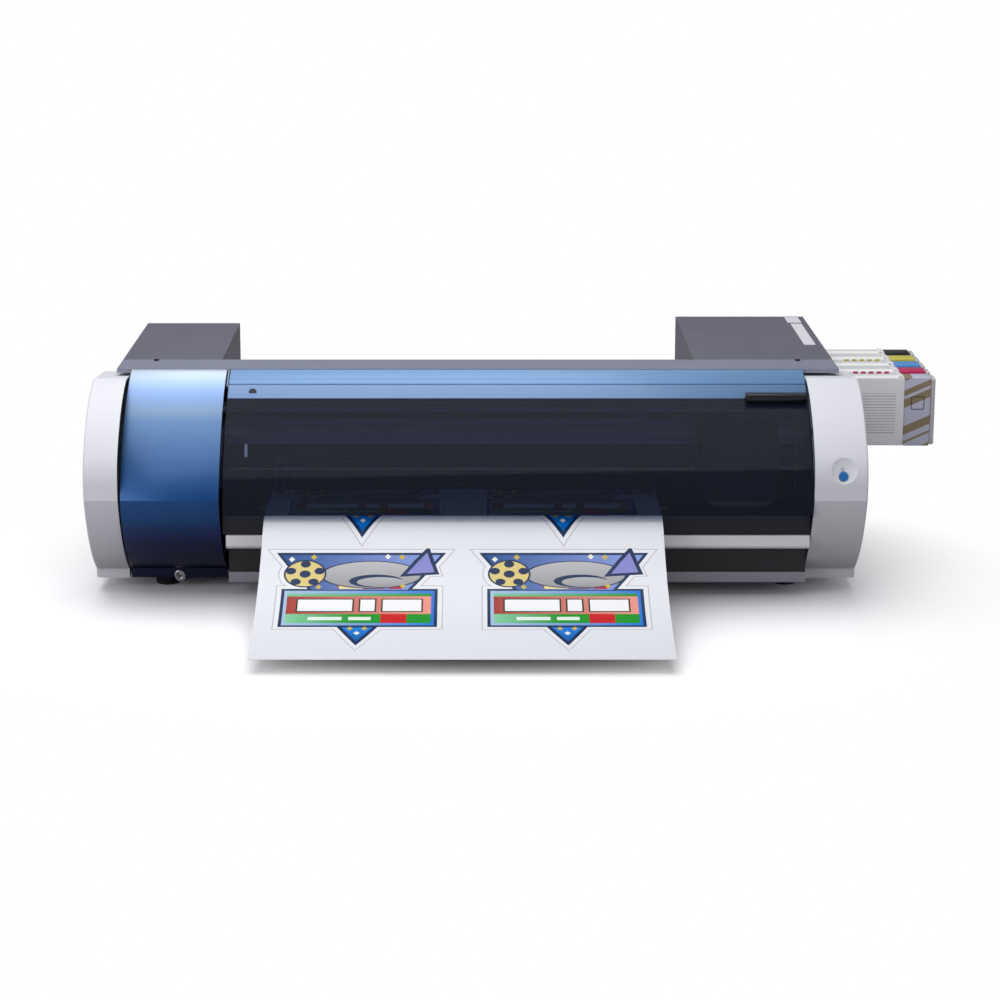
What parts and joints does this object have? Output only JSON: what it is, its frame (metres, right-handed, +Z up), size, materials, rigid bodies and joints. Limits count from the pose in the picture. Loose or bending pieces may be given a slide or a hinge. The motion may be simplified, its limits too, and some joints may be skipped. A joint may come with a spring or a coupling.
{
  "type": "vinyl printer cutter",
  "caption": "Desktop inkjet printer with contour cutter for vinyl: hinged smoked cover, carriages on a rail, grit feed rollers, side ink cartridges and a printed sheet.",
  "frame": {"origin": "under the middle of the whole part, on the table", "axes": "+X to the cartridge side, along the carriage rail; +Y to the back; +Z up"},
  "size_m": [1.144, 0.862, 0.2896],
  "materials": {
    "pan_steel": "satin",
    "frame_steel": "satin",
    "cover_plastic": "fine textured",
    "dark_sheet": "satin powder coat",
    "blue_paint": "metallic lacquer",
    "platen_black": "satin",
    "apron_aluminium": "satin anodised",
    "recess_black": "satin",
    "beam_aluminium": "anodised",
    "rail_steel": "ground",
    "strip_white": "matte",
    "bush_brass": "turned",
    "motor_black": "satin",
    "belt_rubber": "matte",
    "board_green": "solder mask",
    "psu_steel": "zinc plated",
    "rack_plastic": "moulded",
    "foot_rubber": "matte",
    "screw_black": "black oxide",
    "lock_chrome": "polished",
    "smoked_window": "polished",
    "grip_black": "gloss",
    "carriage_black": "moulded",
    "head_brass": "plated",
    "roller_steel": "ground",
    "pulley_black": "moulded",
    "wheel_rubber": "ground",
    "cartridge_white": "moulded",
    "button_blue": "satin",
    "vinyl_film": "gloss film"
  },
  "bodies": {
    "chassis": {"base_pan": "pan_steel", "left_side_frame": "frame_steel", "right_side_frame": "frame_steel", "left_side_cover": "cover_plastic", "right_side_cover": "cover_plastic", "top_cover": "dark_sheet", "blue_trim": "blue_paint", "left_rear_box": "dark_sheet", "right_rear_box": "dark_sheet", "rear_panel": "dark_sheet", "platen": "platen_black", "front_apron": "apron_aluminium", "lower_front_panel": "recess_black", "carriage_beam": "beam_aluminium", "guide_rail": "rail_steel", "cutting_strip": "strip_white", "roller_bushes": "bush_brass", "carriage_motor": "motor_black", "carriage_belt": "belt_rubber", "feed_motor": "motor_black", "feed_belt": "belt_rubber", "main_board": "board_green", "power_supply": "psu_steel", "cartridge_rack": "rack_plastic", "power_inlet": "rack_plastic", "roll_brackets": "dark_sheet", "rubber_feet": "foot_rubber", "housing_screws": "screw_black"},
    "blue_cover": {"blue_front_cover": "blue_paint", "cover_lock": "lock_chrome"},
    "front_cover": {"cover_window": "smoked_window", "cover_band": "blue_paint", "cover_grip": "grip_black", "hinge_pins": "rail_steel"},
    "print_carriage": {"print_carriage": "carriage_black", "print_head": "head_brass"},
    "cutting_carriage": {"cutting_carriage": "carriage_black"},
    "blade": {"blade_holder": "head_brass"},
    "grit_roller": {"grit_roller": "roller_steel", "feed_pulley": "pulley_black"},
    "feed_motor_pulley": {"feed_motor_pulley": "bush_brass"},
    "drive_pulley": {"drive_pulley": "bush_brass"},
    "idler_pulley": {"idler_pulley": "bush_brass"},
    "left_pinch_arm": {"left_pinch_arm": "rail_steel"},
    "left_pinch_wheel": {"left_pinch_wheel": "wheel_rubber"},
    "right_pinch_slider": {"right_pinch_slider": "rack_plastic"},
    "right_pinch_arm": {"right_pinch_arm": "rail_steel"},
    "right_pinch_wheel": {"right_pinch_wheel": "wheel_rubber"},
    "loading_lever": {"loading_lever": "rack_plastic"},
    "cap_station": {"cap_station": "rack_plastic"},
    "power_button": {"power_button": "button_blue"},
    "main_switch": {"main_switch": "grip_black"},
    "media_roll": {"roll_shaft": "roller_steel", "roll_flanges": "rack_plastic"},
    "media_sheet": {"media_sheet": "vinyl_film"},
    "cartridge_silver": {"cartridge_silver": "cartridge_white"},
    "cartridge_magenta": {"cartridge_magenta": "cartridge_white"},
    "cartridge_cyan": {"cartridge_cyan": "cartridge_white"},
    "cartridge_yellow": {"cartridge_yellow": "cartridge_white"},
    "cartridge_black": {"cartridge_black": "cartridge_white"}
  },
  "joints": [
    {"name": "blue_cover_removal", "type": "slide", "parent": "chassis", "child": "blue_cover", "axis": [0, -1, 0], "range_m": [0, 0.15]},
    {"name": "front_cover_hinge", "type": "hinge", "parent": "chassis", "child": "front_cover", "pos_m": [-0.0675, -0.0195, 0.27], "axis": [-1, 0, 0], "range_deg": [0, 65]},
    {"name": "print_carriage_slide", "type": "slide", "parent": "chassis", "child": "print_carriage", "axis": [-1, 0, 0], "range_m": [0, 0.59]},
    {"name": "cutting_carriage_slide", "type": "slide", "parent": "chassis", "child": "cutting_carriage", "axis": [1, 0, 0], "range_m": [0, 0.6]},
    {"name": "blade_stroke", "type": "slide", "parent": "cutting_carriage", "child": "blade", "axis": [0, 0, -1], "range_m": [0, 0.002], "stiffness_N_per_m": 200, "springref_m": -0.01},
    {"name": "grit_roller_spin", "type": "hinge", "parent": "chassis", "child": "grit_roller", "pos_m": [-0.0675, -0.001, 0.1112], "axis": [1, 0, 0], "continuous": true},
    {"name": "feed_motor_spin", "type": "hinge", "parent": "chassis", "child": "feed_motor_pulley", "pos_m": [-0.0675, -0.001, 0.0602], "axis": [1, 0, 0], "continuous": true},
    {"name": "drive_pulley_spin", "type": "hinge", "parent": "chassis", "child": "drive_pulley", "pos_m": [-0.491, -0.021, 0.231], "axis": [0, 0, 1], "range_deg": [-4300, 10]},
    {"name": "idler_pulley_spin", "type": "hinge", "parent": "chassis", "child": "idler_pulley", "pos_m": [0.3545, -0.021, 0.231], "axis": [0, 0, 1], "range_deg": [-4300, 10]},
    {"name": "loading_lever_turn", "type": "hinge", "parent": "chassis", "child": "loading_lever", "pos_m": [-0.0675, 0.049, 0.155], "axis": [-1, 0, 0], "range_deg": [0, 40]},
    {"name": "left_pinch_lift", "type": "hinge", "parent": "chassis", "child": "left_pinch_arm", "pos_m": [-0.0675, 0.049, 0.155], "axis": [-1, 0, 0], "range_deg": [0, 8]},
    {"name": "left_pinch_spin", "type": "hinge", "parent": "left_pinch_arm", "child": "left_pinch_wheel", "pos_m": [-0.33, -0.001, 0.1271], "axis": [1, 0, 0], "continuous": true},
    {"name": "right_pinch_shift", "type": "slide", "parent": "chassis", "child": "right_pinch_slider", "axis": [-1, 0, 0], "range_m": [0, 0.365]},
    {"name": "right_pinch_lift", "type": "hinge", "parent": "right_pinch_slider", "child": "right_pinch_arm", "pos_m": [-0.0675, 0.049, 0.155], "axis": [-1, 0, 0], "range_deg": [0, 8]},
    {"name": "right_pinch_spin", "type": "hinge", "parent": "right_pinch_arm", "child": "right_pinch_wheel", "pos_m": [0.162, -0.001, 0.1271], "axis": [1, 0, 0], "continuous": true},
    {"name": "cap_station_lift", "type": "slide", "parent": "chassis", "child": "cap_station", "axis": [0, 0, -1], "range_m": [0, 0.008]},
    {"name": "power_button_press", "type": "slide", "parent": "chassis", "child": "power_button", "axis": [0, 1, 0], "range_m": [0, 0.002], "stiffness_N_per_m": 600, "springref_m": -0.001},
    {"name": "main_switch_rock", "type": "hinge", "parent": "chassis", "child": "main_switch", "pos_m": [-0.4845, 0.369, 0.075], "axis": [1, 0, 0], "range_deg": [-12, 0]},
    {"name": "media_roll_spin", "type": "hinge", "parent": "chassis", "child": "media_roll", "pos_m": [-0.0675, 0.249, 0.15], "axis": [1, 0, 0], "continuous": true},
    {"name": "media_feed", "type": "slide", "parent": "chassis", "child": "media_sheet", "axis": [0, -1, 0], "range_m": [0, 0.1]},
    {"name": "cartridge_silver_pull", "type": "slide", "parent": "chassis", "child": "cartridge_silver", "axis": [1, 0, 0], "range_m": [0, 0.15]},
    {"name": "cartridge_magenta_pull", "type": "slide", "parent": "chassis", "child": "cartridge_magenta", "axis": [1, 0, 0], "range_m": [0, 0.15]},
    {"name": "cartridge_cyan_pull", "type": "slide", "parent": "chassis", "child": "cartridge_cyan", "axis": [1, 0, 0], "range_m": [0, 0.15]},
    {"name": "cartridge_yellow_pull", "type": "slide", "parent": "chassis", "child": "cartridge_yellow", "axis": [1, 0, 0], "range_m": [0, 0.15]},
    {"name": "cartridge_black_pull", "type": "slide", "parent": "chassis", "child": "cartridge_black", "axis": [1, 0, 0], "range_m": [0, 0.15]}
  ],
  "couplings": [
    {"joint": "feed_motor_spin", "follows": "grit_roller_spin", "ratio": 2.5},
    {"joint": "left_pinch_spin", "follows": "grit_roller_spin", "ratio": -1.5},
    {"joint": "right_pinch_spin", "follows": "grit_roller_spin", "ratio": -1.5},
    {"joint": "drive_pulley_spin", "follows": "print_carriage_slide", "rad_per_m": -120.48},
    {"joint": "idler_pulley_spin", "follows": "print_carriage_slide", "rad_per_m": -120.48},
    {"joint": "left_pinch_lift", "follows": "loading_lever_turn", "ratio": 0.2},
    {"joint": "right_pinch_lift", "follows": "loading_lever_turn", "ratio": 0.2}
  ]
}
